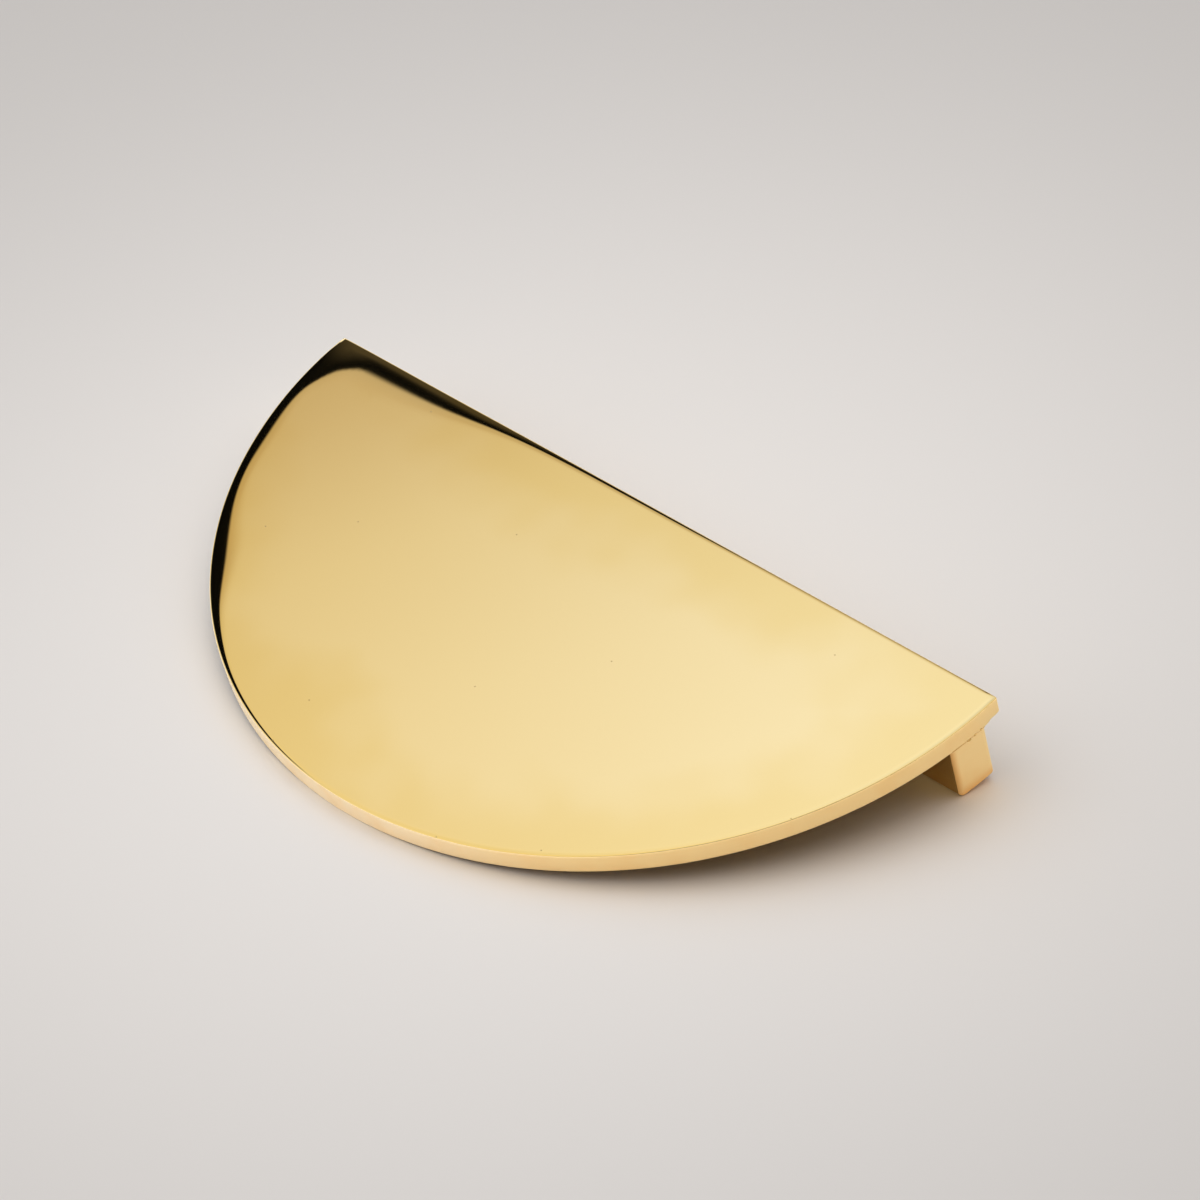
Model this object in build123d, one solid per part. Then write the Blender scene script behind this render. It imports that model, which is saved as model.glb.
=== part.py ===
from build123d import *
import os
from math import radians, sqrt, tan

# Half moon cabinet pull: a half disc of solid brass on a straight foot bar, made as one piece.
# Sizes are in millimetres. The origin is the middle of the foot's mounting face, halfway between
# the screw holes. +Z comes out of the cabinet front, towards the polished face, +X runs along
# the straight edge, and the round edge lies towards -Y.

# Face plate
plate_diameter = 168.0
plate_thickness = 4.0
projection = 16.0  # from the mounting face to the polished face
face_roll_width = 6.0  # where buffing has rolled the face over towards its edges
face_roll_drop = 0.2
top_edge_radius = 0.3
lower_edge_radius = 0.3
plate_corner_radius = 0.4

# Foot bar
foot_width = 8.0
foot_setback = 4.0  # from the straight edge back to the foot's outer side
foot_corner_radius = 0.8
foot_edge_radius = 0.8
root_radius = 0.5  # the small cove where the foot's long sides meet the plate

# Screw holes, drilled for an M4 thread
screw_spacing = 128.0
tap_drill_diameter = 3.3
hole_depth = 10.0
hole_chamfer = 0.5
drill_point_angle = 118.0

# Sizes that follow from these
plate_radius = plate_diameter / 2
underside = projection - plate_thickness
straight_edge = foot_width / 2 + foot_setback
foot_rise = lower_edge_radius / 2  # the foot's ends run up into the plate's rounded lower edge


def edge_section(reach):
    """The plate cut across its edge: the edge stands at 0 and the plate runs back to -reach."""
    roll_start = (-face_roll_width, projection)
    roll_end = (-top_edge_radius, projection - face_roll_drop)
    side_top = (0, projection - face_roll_drop - top_edge_radius)
    side_bottom = (0, underside + lower_edge_radius)
    under_edge = (-lower_edge_radius, underside)
    outline = Curve() + [
        Line((-reach, projection), roll_start),
        TangentArc(roll_start, roll_end, tangent=(1, 0)),
        TangentArc(side_top, roll_end, tangent=(0, 1)),
        Line(side_top, side_bottom),
        TangentArc(side_bottom, under_edge, tangent=(0, -1)),
        Line(under_edge, (-reach, underside)),
        Line((-reach, underside), (-reach, projection)),
    ]
    return make_face(outline)


# The plate: the section turned into a disc, cut by the same section drawn along the straight edge
disc_axis = Axis((0, straight_edge, 0), (0, 0, 1))
rim_plane = Plane(origin=(plate_radius, straight_edge, 0), x_dir=(1, 0, 0), z_dir=(0, -1, 0))
disc = revolve(rim_plane * edge_section(plate_radius), disc_axis)
chord_plane = Plane(origin=(0, straight_edge, 0), x_dir=(0, 1, 0), z_dir=(1, 0, 0))
half = extrude(chord_plane * edge_section(plate_diameter), amount=plate_diameter, both=True)
plate = disc & half

# Its two sharp tips are eased by the rounded corners of the half disc's plan
plan_centre = Pos(0, straight_edge)
half_plane = Pos(0, straight_edge - plate_diameter / 2) * Rectangle(2 * plate_diameter, plate_diameter)
half_disc = plan_centre * Circle(plate_radius) & half_plane
half_disc = fillet(half_disc.vertices(), plate_corner_radius)
plate = plate & extrude(half_disc, amount=projection)

# The foot: a straight bar whose ends follow the round edge and stand flush with it
foot_plan = Rectangle(2 * plate_diameter, foot_width) & plan_centre * Circle(plate_radius)
foot_plan = fillet(foot_plan.vertices(), foot_corner_radius)
foot = extrude(foot_plan, amount=underside + foot_rise)
mounting_edges = foot.faces().sort_by(Axis.Z)[0].edges()
foot = fillet(mounting_edges, foot_edge_radius)
pull = plate + foot

# A small cove along each long side of the foot, under the plate
for side in (1, -1):
    side_y = side * foot_width / 2
    chord_half = sqrt(plate_radius**2 - (straight_edge - side_y) ** 2)
    cove_half = chord_half - foot_corner_radius - lower_edge_radius
    cove_plane = Plane(origin=(0, side_y, underside), x_dir=(0, 1, 0), z_dir=(1, 0, 0))
    cove = Rectangle(2 * root_radius, 2 * root_radius)
    cove -= Pos(side * root_radius, -root_radius) * Circle(root_radius)
    pull += extrude(cove_plane * cove, amount=cove_half, both=True)

# Two blind screw holes with a chamfered mouth and the cone that a drill leaves
hole_radius = tap_drill_diameter / 2
drill_tip = hole_radius / tan(radians(drill_point_angle / 2))
hole_outline = Polyline(
    (0, -hole_chamfer),
    (hole_radius + 2 * hole_chamfer, -hole_chamfer),
    (hole_radius, hole_chamfer),
    (hole_radius, hole_depth),
    (0, hole_depth + drill_tip),
    close=True,
)
hole = revolve(Plane.XZ * make_face(hole_outline), Axis.Z)
for spot in GridLocations(screw_spacing, 1, 2, 1):
    pull -= spot * hole

os.makedirs("parts", exist_ok=True)
export_step(pull.solid(), "parts/half_moon_pull.step")
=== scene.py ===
import bpy
import bmesh
from math import asin, atan, atan2, cos, degrees, exp, hypot, radians, sin, sqrt, tan
from mathutils import Matrix, Vector


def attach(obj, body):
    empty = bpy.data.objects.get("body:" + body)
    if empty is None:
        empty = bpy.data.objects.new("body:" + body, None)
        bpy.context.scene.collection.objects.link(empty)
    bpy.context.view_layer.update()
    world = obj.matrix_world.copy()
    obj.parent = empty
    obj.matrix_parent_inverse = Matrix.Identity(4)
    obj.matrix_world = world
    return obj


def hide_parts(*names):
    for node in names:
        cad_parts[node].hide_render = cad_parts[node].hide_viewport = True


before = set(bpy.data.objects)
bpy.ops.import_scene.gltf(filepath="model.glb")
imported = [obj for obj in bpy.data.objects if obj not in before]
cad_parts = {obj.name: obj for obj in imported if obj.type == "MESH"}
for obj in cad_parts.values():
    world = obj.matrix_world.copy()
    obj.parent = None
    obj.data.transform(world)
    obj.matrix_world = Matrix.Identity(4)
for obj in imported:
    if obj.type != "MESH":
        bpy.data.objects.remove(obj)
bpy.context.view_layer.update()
bpy.context.scene.view_settings.view_transform = "Standard"


# The face plate: a half disc of solid brass, four millimetres thick. It is sanded round its
# edge and buffed on a wheel, which rolled the face over towards the edges, most widely round
# the left tip.
MM = 0.001
plate_radius = 84 * MM
plate_thickness = 4 * MM
projection = 16 * MM
straight_edge = 8 * MM
underside = projection - plate_thickness
circle_segments = 384
straight_cuts = 119
top_edge_radius = 0.26 * MM
lower_edge_radius = 0.25 * MM
tip_lower_radius = 1.0 * MM
plate_corner_radius = 0.6 * MM
bevel_segments = 5
same_place = 0.02 * MM  # two places closer than this count as one
squarely = 0.9  # a face whose normal has this share along an axis faces that way


def fresh(name):
    """Names the primitive that was just added and opens it in edit mode, all selected."""
    piece = bpy.context.object
    piece.name = piece.data.name = name
    bpy.ops.object.transform_apply(location=True, rotation=True, scale=True)
    bpy.ops.object.mode_set(mode="EDIT")
    bpy.ops.mesh.select_all(action="SELECT")
    return piece


def pick(piece, kind, test):
    """Selects the open piece's vertices, edges or faces that pass the test."""
    modes = {"verts": "VERT", "edges": "EDGE", "faces": "FACE"}
    bpy.ops.mesh.select_mode(type=modes[kind])
    bpy.ops.mesh.select_all(action="DESELECT")
    shape = bmesh.from_edit_mesh(piece.data)
    for part in getattr(shape, kind):
        part.select_set(test(part))
    shape.select_flush_mode()
    bmesh.update_edit_mesh(piece.data)


def cut_at(place, normal, **keep):
    """Cuts the whole open piece at a plane and clears one side of it."""
    bpy.ops.mesh.select_all(action="SELECT")
    bpy.ops.mesh.bisect(plane_co=place, plane_no=normal, **keep)


def extrude_up(height):
    """Extrudes what is selected straight up."""
    bpy.ops.mesh.extrude_region_move(TRANSFORM_OT_translate={"value": (0, 0, height)})


def weigh(amount):
    """Gives the selected edges their share of the bevel that follows."""
    bpy.ops.transform.edge_bevelweight(value=amount)


def close_edit():
    bpy.ops.object.mode_set(mode="OBJECT")


def finish_with(piece, kind, **settings):
    """Adds a modifier to the piece and applies it."""
    modifier = piece.modifiers.new(kind.title(), kind)
    for setting, value in settings.items():
        setattr(modifier, setting, value)
    bpy.ops.object.select_all(action="DESELECT")
    bpy.context.view_layer.objects.active = piece
    piece.select_set(True)
    bpy.ops.object.modifier_apply(modifier=modifier.name)


def near(value, target, within=same_place):
    return abs(value - target) < within


bpy.ops.object.select_all(action="DESELECT")
bpy.ops.mesh.primitive_circle_add(
    vertices=circle_segments, radius=plate_radius, fill_type="NGON",
    location=(0, straight_edge, underside))
plate = fresh("half_moon_pull_brass")
cut_at((0, straight_edge, underside), (0, 1, 0), clear_outer=True)
pick(plate, "edges", lambda e: all(near(v.co.y, straight_edge) for v in e.verts))
bpy.ops.mesh.subdivide(number_cuts=straight_cuts)
bpy.ops.mesh.select_all(action="SELECT")
extrude_up(plate_thickness)

# The face's rings close in on a point half way between the straight edge and the round edge.
# Their distances from the edge, in millimetres, are close together where the face rolls over.
ring_centre = (0, straight_edge - plate_radius / 2, projection)
ring_gaps = (
    0.3, 0.4, 0.5, 0.65, 0.75, 0.85, 1.0, 1.15, 1.35, 1.6, 1.9, 2.2, 2.6, 3.0, 3.5, 4.0,
    4.6, 5.3, 6.2, 7.4, 9.0, 11.4, 14, 17, 20, 23, 26, 29, 32, 35, 38, 40.5)
pick(plate, "faces", lambda f: f.normal.z > squarely and near(f.calc_center_median().z, projection))
scale_now = 1.0
for gap in ring_gaps:
    scale_next = 1 - gap * MM / (plate_radius / 2)
    shrink = scale_next / scale_now
    bpy.ops.mesh.extrude_region_move()
    bpy.ops.transform.resize(value=(shrink, shrink, 1), center_override=ring_centre)
    scale_now = scale_next
bpy.ops.mesh.merge(type="COLLAPSE")

bevel_width = 1.0 * MM
tip_reach = 0.1 * MM
tip_start_x = 78 * MM
tip_run_x = 4 * MM
tip_start_y = 4 * MM
tip_run_y = 2 * MM
tip_steps = 4


def on_rim(vert):
    """Whether this point lies on the round edge or the straight edge."""
    radial = hypot(vert.co.x, vert.co.y - straight_edge)
    return near(radial, plate_radius) or near(vert.co.y, straight_edge)


def is_tip(edge):
    """Whether this edge stands upright at a tip, or just beside one."""
    start, end = (vert.co for vert in edge.verts)
    upright = abs(start.z - end.z) > plate_thickness / 2
    return upright and near(abs(start.x), plate_radius, tip_reach)


def tip_step(edge):
    """How much rounder the lower edge is here, in steps: it grows where the tips stand out."""
    middle = (edge.verts[0].co + edge.verts[1].co) / 2
    along_x = (abs(middle.x) - tip_start_x) / tip_run_x
    along_y = (middle.y - tip_start_y) / tip_run_y
    return max(0, min(tip_steps, round(tip_steps * min(along_x, along_y))))


pick(plate, "edges", lambda e: all(near(v.co.z, projection) and on_rim(v) for v in e.verts))
weigh(top_edge_radius / bevel_width)
for step in range(tip_steps + 1):
    radius = lower_edge_radius + (tip_lower_radius - lower_edge_radius) * step / tip_steps
    pick(plate, "edges", lambda e: all(near(v.co.z, underside) for v in e.verts)
         and tip_step(e) == step)
    weigh(radius / bevel_width)
pick(plate, "edges", is_tip)
weigh(plate_corner_radius / bevel_width)
close_edit()
finish_with(plate, "BEVEL", width=bevel_width, segments=bevel_segments, limit_method="WEIGHT",
            use_clamp_overlap=False)

# Buffing rolls the face over towards its edges. The roll is narrow and rather steep along most
# of them, and wider and flatter round the left tip and at one place on the left of the arc.
deepest_roll = 0.8 * MM
face_depth = 1.2 * MM
lip_width = 1.8 * MM


def fades_out(place, middle, softness):
    """1 well before the middle and 0 well past it."""
    return 1 / (1 + exp((place - middle) / softness))


def sets_in(place, middle, softness):
    """0 well before the middle and 1 well past it."""
    return 1 / (1 + exp((middle - place) / softness))


def swells(place, middle, spread):
    """1 at the middle, falling away on both sides."""
    return exp(-((place - middle) / spread) ** 2)


def roll_on_arc(angle):
    """Width and slope of the roll at this angle in degrees, from the left tip along the arc."""
    tip = fades_out(angle, 6.5, 1.7)
    beside_tip = swells(angle, 19, 8)
    over_buffed = swells(angle, 40, 8.5)
    crisp = sets_in(angle, 57, 3)
    width = 2.6 + 8.1 * tip + 1.2 * beside_tip + 3.3 * over_buffed - 1.5 * crisp
    slope = 3.4 + min(angle, 70) / 30 - 1.6 * tip - 0.7 * over_buffed + 3.2 * crisp
    return width * MM, radians(slope)


def roll_on_straight(x):
    """Width and slope of the roll at this place along the straight edge."""
    wide = fades_out(x / MM, -48, 8)
    narrow = sets_in(x / MM, 15, 5)
    return (1.4 + 6.7 * wide - 0.5 * narrow) * MM, radians(6.2 - 2.4 * wide)


def lip_on_straight(x):
    """The last millimetres before the straight edge, which fall off faster towards the left."""
    return lip_width, radians(3 * fades_out(x / MM, -42, 5))


def drop(gap, width, slope):
    """How far the face has dropped at this gap from an edge."""
    return slope * width / 2 * max(0.0, 1 - max(gap, 0.0) / width) ** 2


group = plate.vertex_groups.new(name="buffed_roll")
for vert in plate.data.vertices:
    x, y, z = vert.co
    if z < projection - face_depth:
        continue
    from_rim = plate_radius - hypot(x, y - straight_edge)
    from_straight = straight_edge - y
    angle = degrees(atan2(straight_edge - y, -x))
    fall = drop(from_rim, *roll_on_arc(angle))
    fall += drop(from_straight, *roll_on_straight(x)) + drop(from_straight, *lip_on_straight(x))
    group.add([vert.index], fall / deepest_roll, "REPLACE")
finish_with(plate, "DISPLACE", direction="Z", strength=-deepest_roll, mid_level=0.0,
            vertex_group=group.name)


# The foot bar: brass, eight millimetres wide and set back from the straight edge. It carries
# the plate clear of the cabinet front, its ends stand flush with the round edge, and a fine
# line with a few pits is left where its right end meets the plate.
foot_width = 8 * MM
foot_segments = 300
foot_corner_radius = 0.8 * MM
foot_edge_radius = 0.8 * MM
root_radius = 0.5 * MM
root_steps = 4
foot_rise = 0.08 * MM  # how far it fills the plate's rounded lower edge; the rest stays a groove
foot_top = underside + foot_rise

bpy.ops.object.select_all(action="DESELECT")
bpy.ops.mesh.primitive_circle_add(
    vertices=foot_segments, radius=plate_radius, fill_type="NGON", location=(0, straight_edge, 0))
foot = fresh("foot_bar")
cut_at((0, foot_width / 2, 0), (0, 1, 0), clear_outer=True)
cut_at((0, -foot_width / 2, 0), (0, 1, 0), clear_inner=True)
bpy.ops.mesh.select_all(action="SELECT")
half_width = foot_width / 2
level = underside - root_radius
extrude_up(level)
for step in range(1, root_steps + 1):
    turn = radians(90 * step / root_steps)
    wider = foot_width / 2 + root_radius * (1 - cos(turn))
    higher = underside - root_radius + root_radius * sin(turn)
    extrude_up(higher - level)
    bpy.ops.transform.resize(value=(1, wider / half_width, 1), center_override=(0, 0, 0))
    half_width, level = wider, higher
extrude_up(foot_top - level)
pick(foot, "edges", lambda e: all(near(v.co.z, 0) for v in e.verts))
weigh(foot_edge_radius / foot_corner_radius)
pick(foot, "edges", lambda e: not near(e.verts[0].co.z, e.verts[1].co.z)
     and all(abs(v.co.y) > foot_width / 2 - same_place for v in e.verts))
weigh(1.0)
close_edit()
finish_with(foot, "BEVEL", width=foot_corner_radius, segments=bevel_segments, limit_method="WEIGHT",
            use_clamp_overlap=False)

finish_with(plate, "BOOLEAN", operation="UNION", solver="EXACT", object=foot)
bpy.data.objects.remove(foot)

# Each pit's place in millimetres: along the foot's end, and above the line
pit_places = ((-0.2, 0), (0.2, 0), (1.4, 0.1), (2.9, 0.2))
pit_radius = 0.3 * MM
pit_outset = 0.35 * pit_radius
pits = []
bpy.ops.object.select_all(action="DESELECT")
bpy.ops.mesh.primitive_ico_sphere_add(subdivisions=3, radius=pit_radius)
pit = fresh("pit")
close_edit()
for along_end, above_line in pit_places:
    pit_y = along_end * MM
    edge_x = sqrt(plate_radius ** 2 - (straight_edge - pit_y) ** 2)
    pit.location = (edge_x + pit_outset, pit_y, underside + above_line * MM)
    bpy.context.view_layer.update()
    finish_with(plate, "BOOLEAN", operation="DIFFERENCE", solver="EXACT", object=pit)
    pits.append(pit.location.copy())
bpy.data.objects.remove(pit)


# The two screw holes: drilled blind into the foot, with the cone that a drill leaves, opened by
# a countersink at the mouth and tapped for M4 screws that come through the cabinet front.
screw_spacing = 128 * MM
hole_segments = 48
hole_radius = 1.65 * MM
hole_depth = 10 * MM
hole_chamfer = 0.5 * MM
mouth_radius = hole_radius + 2 * hole_chamfer
drill_point_angle = 118
drill_tip = hole_radius / tan(radians(drill_point_angle / 2))
thread_radius = 2.0 * MM
thread_root = 1.67 * MM
thread_pitch = 0.7 * MM
thread_depth = 8.4 * MM
thread_turns = 15
turn_steps = 36
thread_start = -1.5 * thread_pitch
ridge_height = thread_radius - thread_root
weld = 0.001 * MM
smooth_below = radians(35)

bpy.ops.object.select_all(action="DESELECT")
bpy.ops.mesh.primitive_circle_add(
    vertices=hole_segments, radius=mouth_radius, fill_type="NGON", location=(0, 0, -hole_chamfer))
drill = fresh("drill")
extrude_up(2 * hole_chamfer)
narrower = hole_radius / mouth_radius
bpy.ops.transform.resize(value=(narrower, narrower, 1), center_override=(0, 0, hole_chamfer))
extrude_up(hole_depth - hole_chamfer)
extrude_up(drill_tip)
bpy.ops.mesh.merge(type="COLLAPSE")
bpy.ops.mesh.select_all(action="SELECT")
bpy.ops.mesh.normals_make_consistent(inside=False)
close_edit()

# The tap is a rod with one ridge wound round it, cut off square at both ends
bpy.ops.object.select_all(action="DESELECT")
upright = Matrix(((0, 1, 0), (0, 0, 1), (1, 0, 0))).to_euler()
bpy.ops.mesh.primitive_circle_add(vertices=4, radius=thread_pitch / 2, rotation=upright)
tap = fresh("tap")
bpy.ops.transform.resize(value=(2 * ridge_height / thread_pitch, 1, 1), center_override=(0, 0, 0))
pick(tap, "verts", lambda v: v.co.x < -0.5 * ridge_height)
bpy.ops.mesh.delete(type="VERT")
bpy.ops.mesh.select_all(action="SELECT")
bpy.ops.transform.translate(value=(thread_root, 0, thread_start))
close_edit()
finish_with(tap, "SCREW", axis="Z", angle=radians(360), screw_offset=thread_pitch,
            iterations=thread_turns, steps=turn_steps, render_steps=turn_steps)
bpy.ops.object.mode_set(mode="EDIT")
bpy.ops.mesh.select_all(action="SELECT")
bpy.ops.mesh.remove_doubles(threshold=weld)
cut_at((0, 0, -hole_chamfer / 2), (0, 0, 1), clear_inner=True, use_fill=True)
cut_at((0, 0, thread_depth), (0, 0, 1), clear_outer=True, use_fill=True)
bpy.ops.mesh.select_all(action="SELECT")
bpy.ops.mesh.normals_make_consistent(inside=False)
close_edit()
finish_with(tap, "TRIANGULATE")

for tool in (drill, tap):
    for side in (-1, 1):
        tool.location.x = side * screw_spacing / 2
        bpy.context.view_layer.update()
        finish_with(plate, "BOOLEAN", operation="DIFFERENCE", solver="EXACT", object=tool)
    bpy.data.objects.remove(tool)
bpy.ops.object.shade_smooth_by_angle(angle=smooth_below)


# The finishes: bare brass throughout. The face is buffed to a mirror, the round edge, the
# straight edge, the foot's ends and the mounting face are sanded satin, and the underside,
# the foot's long sides and the pits keep a darker cast skin.
class Shade:
    """One value in a node tree. Arithmetic on it adds Math nodes, and node() adds any other."""

    def __init__(self, tree, socket=None):
        self.tree = tree
        self.socket = socket

    def node(self, kind, settings=None, sockets=None, output=0):
        made = self.tree.nodes.new(kind)
        for name, value in (settings or {}).items():
            if name == "stops":
                ramp = made.color_ramp.elements
                while len(ramp) < len(value):
                    ramp.new(1.0)
                for stop, (place, colour) in zip(ramp, value):
                    stop.position = place
                    stop.color = colour
            else:
                setattr(made, name, value)
        for name, value in (sockets or {}).items():
            if isinstance(value, Shade):
                self.tree.links.new(value.socket, made.inputs[name])
            else:
                made.inputs[name].default_value = value
        return Shade(self.tree, made.outputs[output] if len(made.outputs) else None)

    def math(self, operation, first, second):
        return self.node("ShaderNodeMath", {"operation": operation}, {0: first, 1: second})

    def __add__(self, other):
        return self.math("ADD", self, other)

    def __radd__(self, other):
        return self.math("ADD", other, self)

    def __sub__(self, other):
        return self.math("SUBTRACT", self, other)

    def __rsub__(self, other):
        return self.math("SUBTRACT", other, self)

    def __mul__(self, other):
        return self.math("MULTIPLY", self, other)

    def __rmul__(self, other):
        return self.math("MULTIPLY", other, self)

    def __abs__(self):
        return self.math("ABSOLUTE", self, 0.0)


def new_finish(name):
    """A bare material, with the class that adds its nodes."""
    finish = bpy.data.materials.new(name)
    finish.use_nodes = True
    finish.node_tree.nodes.clear()
    return finish, Shade(finish.node_tree)


def object_place():
    """The point being shaded, in the object's own coordinates."""
    return shade.node("ShaderNodeTexCoord", output="Object")


def part_of(place, axis):
    """One of the three coordinates of a place."""
    return shade.node("ShaderNodeSeparateXYZ", None, {0: place}, output=axis)


def ease(value, start, end):
    """0 up to start, 1 from end on, and smooth between them."""
    return shade.node("ShaderNodeMapRange", {"interpolation_type": "SMOOTHSTEP"}, {
        "Value": value, "From Min": start, "From Max": end})


def blend(factor, first, second, kind="MIX"):
    """Two colours mixed, added or multiplied by this factor."""
    return shade.node("ShaderNodeMix", {"data_type": "RGBA", "blend_type": kind}, {
        "Factor": factor, "A": first, "B": second}, output="Result")


def noise(place, scale, detail):
    return shade.node("ShaderNodeTexNoise", None, {
        "Vector": place, "Scale": scale, "Detail": detail})


def stretched(place, scales):
    return shade.node("ShaderNodeVectorMath", {"operation": "MULTIPLY"}, {0: place, 1: scales})


def gap_to(place, target):
    return shade.node("ShaderNodeVectorMath", {"operation": "DISTANCE"}, {
        0: place, 1: target}, output="Value")


def bumps(height, depth):
    return shade.node("ShaderNodeBump", None, {
        "Height": height, "Strength": 1.0, "Distance": depth}, output="Normal")


def brass_surface(colour, roughness, **others):
    """Ends a finish with its metal shader and the output."""
    brass = shade.node("ShaderNodeBsdfPrincipled", None, {
        "Base Color": colour, "Metallic": 1.0, "Roughness": roughness, **others})
    shade.node("ShaderNodeOutputMaterial", None, {"Surface": brass})


# The mirror-buffed face, a little deeper in colour towards its edges, with a few pinholes
polished, shade = new_finish("polished_brass")
face_by_edge = (0.872, 0.665, 0.285, 1)
face_inside = (0.91, 0.727, 0.375, 1)
pinhole_colour = (0.25, 0.17, 0.07, 1)
spot = object_place()
from_rim = plate_radius - gap_to(spot, (0, straight_edge, projection))
from_edge = shade.math("MINIMUM", from_rim, straight_edge - part_of(spot, "Y"))
clouds = noise(spot, 33.0, 2.0)
uneven_edge = 50 * MM * (clouds - 0.5) - 0.08 * part_of(spot, "X")
inside = ease(from_edge + uneven_edge, 0.0, 22 * MM)
buffed = blend(inside, face_by_edge, face_inside)
nearest = shade.node("ShaderNodeTexVoronoi", {"voronoi_dimensions": "2D"}, {
    "Vector": spot, "Scale": 30.0}, output="Distance")
pinhole = ease(nearest, 0.0055, 0.003)
brass_surface(blend(0.45 * pinhole, buffed, pinhole_colour),
              0.022 + 0.016 * clouds + 0.3 * pinhole)

# The satin edges, sanded along their length, paler towards the left by a painted highlight, and
# darker by the foot's lower edge and inner corner by painted shade
satin, shade = new_finish("satin_brass")
satin_left_painted_highlight = (0.99, 0.86, 0.64, 1)
satin_right = (0.99, 0.79, 0.43, 1)
satin_cloud = (0.97, 0.70, 0.33, 1)
satin_painted_shade = (0.92, 0.60, 0.24, 1)
spot = object_place()
y = part_of(spot, "Y")
z = part_of(spot, "Z")
streaks = noise(stretched(spot, (60, 60, 2500)), 1.0, 3.0)
clouds = noise(spot, 150.0, 2.0)
# Painted highlight: the satin turns paler towards the left, where a whitish sheen is painted into
# its colour
satin_colour = blend(ease(part_of(spot, "X"), 5 * MM, 55 * MM), satin_left_painted_highlight, satin_right)
satin_colour = blend(0.35 * ease(clouds, 0.45, 0.75), satin_colour, satin_cloud)
# Painted shade: the satin darkens to a deeper brass near the table at the foot's lower edge and in
# the inner corner under the plate
at_foot_bottom = ease(z, 3 * MM, 0.0)
at_foot_inside = ease(y, -3.0 * MM, -4.2 * MM) * ease(z, 12.2 * MM, 11.2 * MM)
by_foot_edge = shade.math("MAXIMUM", at_foot_bottom, at_foot_inside)
satin_colour = blend(by_foot_edge, satin_colour, satin_painted_shade)
brass_surface(satin_colour, 0.64 + 0.1 * streaks, Normal=bumps(streaks, 0.02 * MM))

# The cast skin, finely grained
cast, shade = new_finish("cast_brass")
cast_light = (0.68, 0.465, 0.175, 1)
cast_dark = (0.62, 0.41, 0.14, 1)
spot = object_place()
grain = noise(spot, 1400.0, 3.0)
clouds = noise(spot, 120.0, 2.0)
cast_colour = blend(ease(clouds, 0.35, 0.7), cast_light, cast_dark)
brass_surface(cast_colour, 0.12 + 0.1 * grain, Normal=bumps(grain, 0.04 * MM))

plate.data.materials.clear()
for finish in (polished, satin, cast):
    plate.data.materials.append(finish)
buffed_depth = 2 * MM
buffed_upward = 0.75  # the part of the top edge that leans over further is satin
edge_band = 1 * MM
edge_outward = 0.3
pit_reach = 1.02 * pit_radius
for face in plate.data.polygons:
    outward = Vector((face.center.x, face.center.y - straight_edge, 0))
    faces_outward = face.normal.dot(outward.normalized()) > edge_outward
    at_round_edge = outward.length > plate_radius - edge_band and faces_outward
    at_straight_edge = face.normal.y > squarely and face.center.z > underside
    at_cabinet = face.normal.z < -squarely and near(face.center.z, 0)
    in_pit = any((face.center - place).length < pit_reach for place in pits)
    if face.normal.z > buffed_upward and face.center.z > underside + buffed_depth:
        face.material_index = 0
    elif (at_round_edge or at_straight_edge or at_cabinet) and not in_pit:
        face.material_index = 1
    else:
        face.material_index = 2

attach(plate, "root")
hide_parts("half_moon_pull")


# The table under it: pale paper with a painted pool of light, brightest under the pull and darker
# away from it. The pull lies face up on the edge of its foot and the middle of its round edge, so
# the table is tilted against it.
table_size = 4.0
paper_painted_light = (0.82, 0.80, 0.785, 1)
paper_painted_dim = (0.56, 0.545, 0.535, 1)
painted_light_centre = (-4 * MM, -12 * MM, 0)
painted_light_reach = 280 * MM
foot_touch = Vector((0, -foot_width / 2 + foot_edge_radius, foot_edge_radius))
rim_touch = Vector((0, straight_edge - plate_radius + lower_edge_radius,
                    underside + lower_edge_radius))
run = foot_touch - rim_touch
tilt = atan(-run.z / run.y) + asin((foot_edge_radius - lower_edge_radius) / run.length)
table_normal = Vector((0, sin(tilt), cos(tilt)))
table_point = foot_touch - foot_edge_radius * table_normal
bpy.ops.object.select_all(action="DESELECT")
bpy.ops.mesh.primitive_plane_add(size=table_size, location=table_point, rotation=(-tilt, 0, 0))
table = bpy.context.object
table.name = "table"

# Seen from below, the paper is clear
paper, shade = new_finish("pale_paper")
# Painted pool of light: the paper's colour darkens with distance from a centre under the pull
away = gap_to(object_place(), painted_light_centre)
sheet = shade.node("ShaderNodeBsdfPrincipled", None, {
    "Base Color": blend(ease(away, 0, painted_light_reach), paper_painted_light, paper_painted_dim),
    "Roughness": 0.9, "Specular IOR Level": 0.1})
clear = shade.node("ShaderNodeBsdfTransparent")
behind = shade.node("ShaderNodeNewGeometry", output="Backfacing")
face_up = shade.node("ShaderNodeMixShader", None, {0: behind, 1: sheet, 2: clear})
shade.node("ShaderNodeOutputMaterial", None, {"Surface": face_up})
table.data.materials.append(paper)


# The light: a pale room with eight soft bright stretches round its walls, a dark strip overhead
# and a bright panel high behind the left of the pull, which the face mirrors. The dark gap round
# that panel is what the buffed edges pick up as dark lines.
room = bpy.data.worlds.new("pale_room")
bpy.context.scene.world = room
room.use_nodes = True
room.node_tree.nodes.clear()
shade = Shade(room.node_tree)
towards = shade.node("ShaderNodeTexCoord", output="Generated")


def along(direction):
    """How far the looked-at point of the room lies in this direction."""
    return shade.node("ShaderNodeVectorMath", {"operation": "DOT_PRODUCT"}, {
        0: towards, 1: direction}, output="Value")


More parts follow.
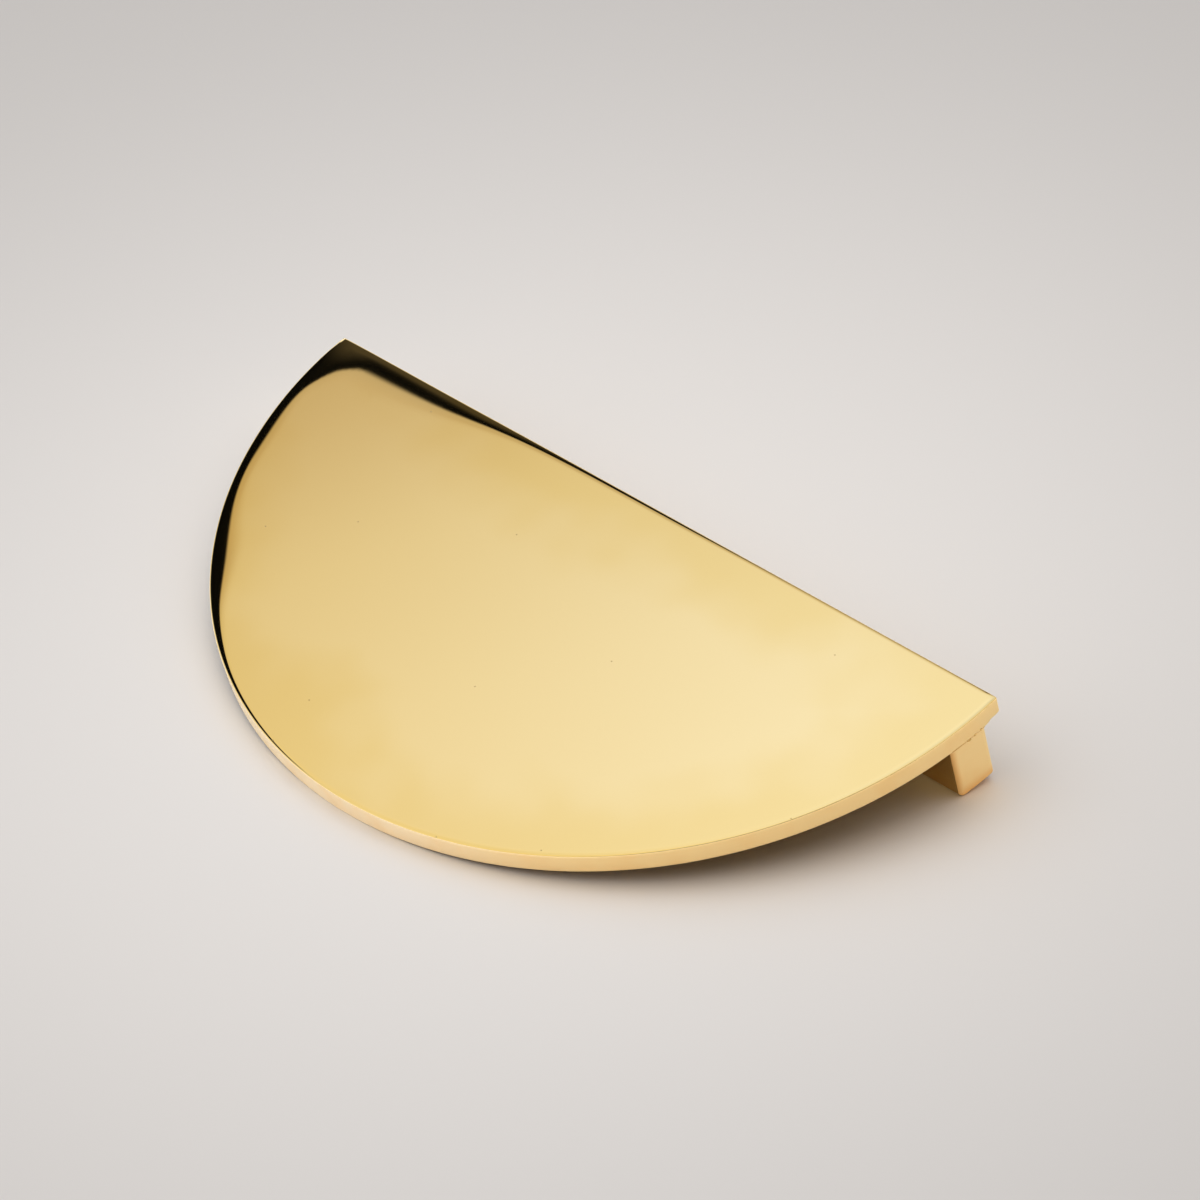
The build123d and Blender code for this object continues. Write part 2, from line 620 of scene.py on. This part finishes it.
white = (1, 1, 1, 1)
panel_bottom = 0.643
panel_left = (0.714, 0.5346, 0.4526)
left_wall = (-0.94, -0.342, 0)
lamp_side = Vector((-0.508, -0.491, 0.707))
height = along((0, 0, 1))
heading = shade.math("ARCTAN2", along((0, 1, 0)), along((1, 0, 0)))
past_bottom = panel_bottom - height
past_left = -1 * along(panel_left)
past_edge = shade.math("MAXIMUM", past_bottom, past_left)

# The panel, from its warm lower rim up to its cool white middle
panel_shades = (
    (0.640, (0.58, 0.49, 0.35, 1)),
    (0.668, (0.667, 0.571, 0.435, 1)),
    (0.690, (0.87, 0.83, 0.75, 1)),
    (0.712, (0.97, 0.96, 0.95, 1)),
    (0.740, (1.05, 1.06, 1.10, 1)),
    (1.0, (1.1, 1.1, 1.1, 1)))
panel_front = (-0.559, -0.829, 0)
panel_cool = (1.07, 1.14, 1.33, 1)
panel_warm = (0.93, 0.86, 0.67, 1)
panel = shade.node("ShaderNodeValToRGB", {"stops": panel_shades}, {"Fac": height})
tint = blend(ease(along(panel_front), -0.124, 0.124), panel_cool, panel_warm)
panel = blend(1.0, panel, tint, "MULTIPLY")
in_panel = ease(past_edge, 0.004, -0.008) * ease(along(left_wall), -0.15, 0.35)

# The gap round it, black at the left and brown below
gap_black = (0.003, 0.003, 0.003, 1)
gap_brown = (0.075, 0.062, 0.04, 1)
gap_heading = radians(146)
brown = ease(past_bottom, 0.012, 0.06) * ease(past_left, 0.0, -0.06)
gap = blend(brown, gap_black, gap_brown)
by_heading = ease(abs(heading - gap_heading), radians(28), radians(18))
by_panel = by_heading * ease(past_edge, 0.21, 0.13) * ease(height, 0.9, 0.8)

# The walls, brighter near the horizon, the ceiling, the lamp's glow and the strip overhead
bright_stretches = 8
bright_low = (1.48, 1.36, 1.20, 1)
bright_high = (1.0, 0.93, 0.83, 1)
between_low = (1.15, 1.06, 0.93, 1)
between_high = (0.68, 0.61, 0.51, 1)
ceiling = (0.92, 0.87, 0.78, 1)
cool_tint = (0.97, 1.06, 1.25, 1)
lamp_glow = (1.08, 1.05, 1.0, 1)
strip_dark = (0.03, 0.03, 0.03, 1)
strip_side = (0.816, -0.578, 0)
upper = ease(height, 0.06, 0.4)
by_light = blend(upper, bright_low, bright_high)
between = blend(upper, between_low, between_high)
round_room = 0.5 + 0.5 * shade.math("SINE", bright_stretches * heading, 0.0)
walls = blend(round_room * ease(height, 0.95, 0.7), between, by_light)
walls = blend(ease(height, 0.75, 0.98), walls, ceiling)
cool = blend(ease(along(left_wall), 0.0, 0.9), white, cool_tint)
walls = blend(1.0, walls, cool, "MULTIPLY")
walls = blend(ease(along(lamp_side), 0.7, 0.95), walls, lamp_glow)
strip_height = ease(height, 0.82, 0.86) * ease(height, 0.98, 0.965)
overhead = strip_height * ease(along(strip_side), 0.1, 0.25)
walls = blend(overhead, walls, strip_dark)
seen = blend(in_panel, blend(by_panel, walls, gap), panel)

# What the paper is lit by, besides the lamps: a dim room with four soft glows
sky = (0.05, 0.042, 0.034, 1)
glows = (
    ((0, 0.16, 0.987), (0.78, 0.55, 0.33, 1)),
    ((-0.55, 0.38, 0.745), (0.25, 0.46, 0.67, 1)),
    ((-0.80, -0.20, 0.57), (0.50, 0.58, 0.67, 1)),
    ((0.10, 0.75, 0.655), (1.06, 1.04, 1.01, 1)))
for side, colour in glows:
    sky = blend(ease(along(side), 0.6, 0.97), sky, colour, "ADD")
path = "ShaderNodeLightPath"
shown = (shade.node(path, output="Is Camera Ray") + shade.node(path, output="Is Glossy Ray")
         + shade.node(path, output="Is Transmission Ray"))
mirrored = shade.node("ShaderNodeBackground", None, {"Color": seen, "Strength": 1.0})
lit = shade.node("ShaderNodeBackground", None, {"Color": sky, "Strength": 1.0})
both = shade.node("ShaderNodeMixShader", None, {0: shown, 1: lit, 2: mirrored})
shade.node("ShaderNodeOutputWorld", None, {"Surface": both})

lit_spot = Vector((0, -0.03, 0.01))


def hang_lamp(name, shape, width, watts, side, distance):
    """Hangs an area lamp on this side of the pull, facing it."""
    lamp_data = bpy.data.lights.new(name, "AREA")
    lamp_data.shape = shape
    lamp_data.size = width
    lamp_data.energy = watts
    lamp = bpy.data.objects.new(name, lamp_data)
    bpy.context.scene.collection.objects.link(lamp)
    lamp.location = lit_spot + distance * side
    lamp.rotation_euler = side.to_track_quat("Z", "Y").to_euler()
    return lamp


# One large soft lamp stands to the left of the camera. The brass doesn't mirror the lamp itself,
# because the glow on the walls stands for it there
soft_lamp = hang_lamp("soft_lamp", "SQUARE", 2.05, 9.8, lamp_side, 1.6)
soft_lamp.visible_glossy = False

# A long low lamp in front fills in the round edge and the shadow under it
fill_side = Vector((0.09, -0.98, 0.12)).normalized()
fill_lamp = hang_lamp("fill_lamp", "RECTANGLE", 1.8, 10.5, fill_side, 1.5)
fill_lamp.data.size_y = 0.3
fill_lamp.data.color = (1.0, 0.96, 0.90)


# The camera stands in front and to the right, looking down on the face through a long lens,
# at the viewing angle of the photograph.
camera_data = bpy.data.cameras.new("camera")
camera = bpy.data.objects.new("camera", camera_data)
bpy.context.scene.collection.objects.link(camera)
camera_data.lens = 169.66
camera_data.sensor_width = 36.0
camera_data.clip_end = 20.0
camera_right = Vector((0.70539, 0.68191, -0.19345))
camera_up = Vector((-0.40290, 0.61028, 0.68208))
camera_back = Vector((0.58317, -0.40319, 0.70523))
camera_place = Vector((603.39, -426.61, 736.53)) * MM
camera.matrix_world = Matrix.Translation(camera_place) @ Matrix(
    (camera_right, camera_up, camera_back)).transposed().to_4x4()
bpy.context.scene.camera = camera
